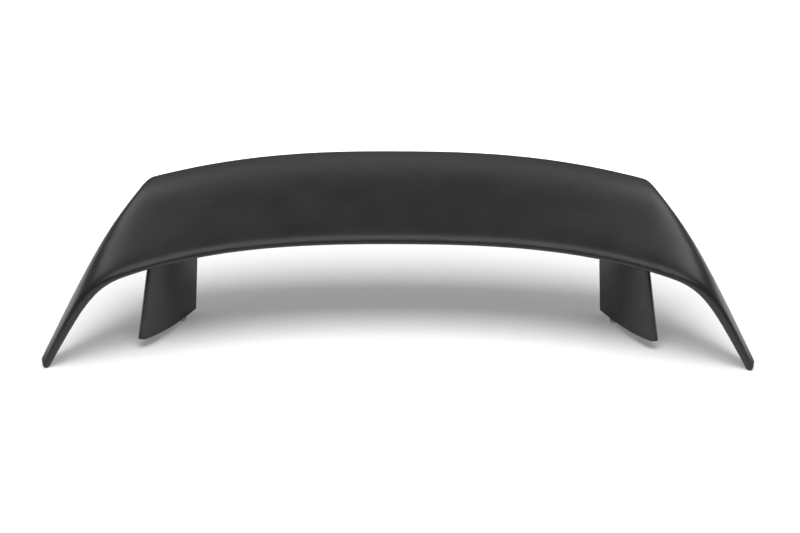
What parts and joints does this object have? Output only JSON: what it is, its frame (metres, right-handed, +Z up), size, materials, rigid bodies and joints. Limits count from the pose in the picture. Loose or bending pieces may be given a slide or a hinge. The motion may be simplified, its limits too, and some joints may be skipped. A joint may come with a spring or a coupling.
{
  "type": "trunk spoiler",
  "caption": "Matte black trunk spoiler: swept wing with ends turning down into tapered side fins, on raked legs with bolts in their feet.",
  "frame": {"origin": "middle of the moulding's outline, on the level surface that it stands on", "axes": "+X across the car, +Y to the rear of the car, +Z up"},
  "size_m": [1.2708, 0.3247, 0.302],
  "materials": {
    "black_abs": "matte black, fine even grain",
    "insert_brass": "turned",
    "zinc_steel": "bright zinc"
  },
  "bodies": {
    "root": {"spoiler_body": "black_abs", "threaded_inserts": "insert_brass", "mounting_bolts": "zinc_steel"}
  },
  "joints": []
}
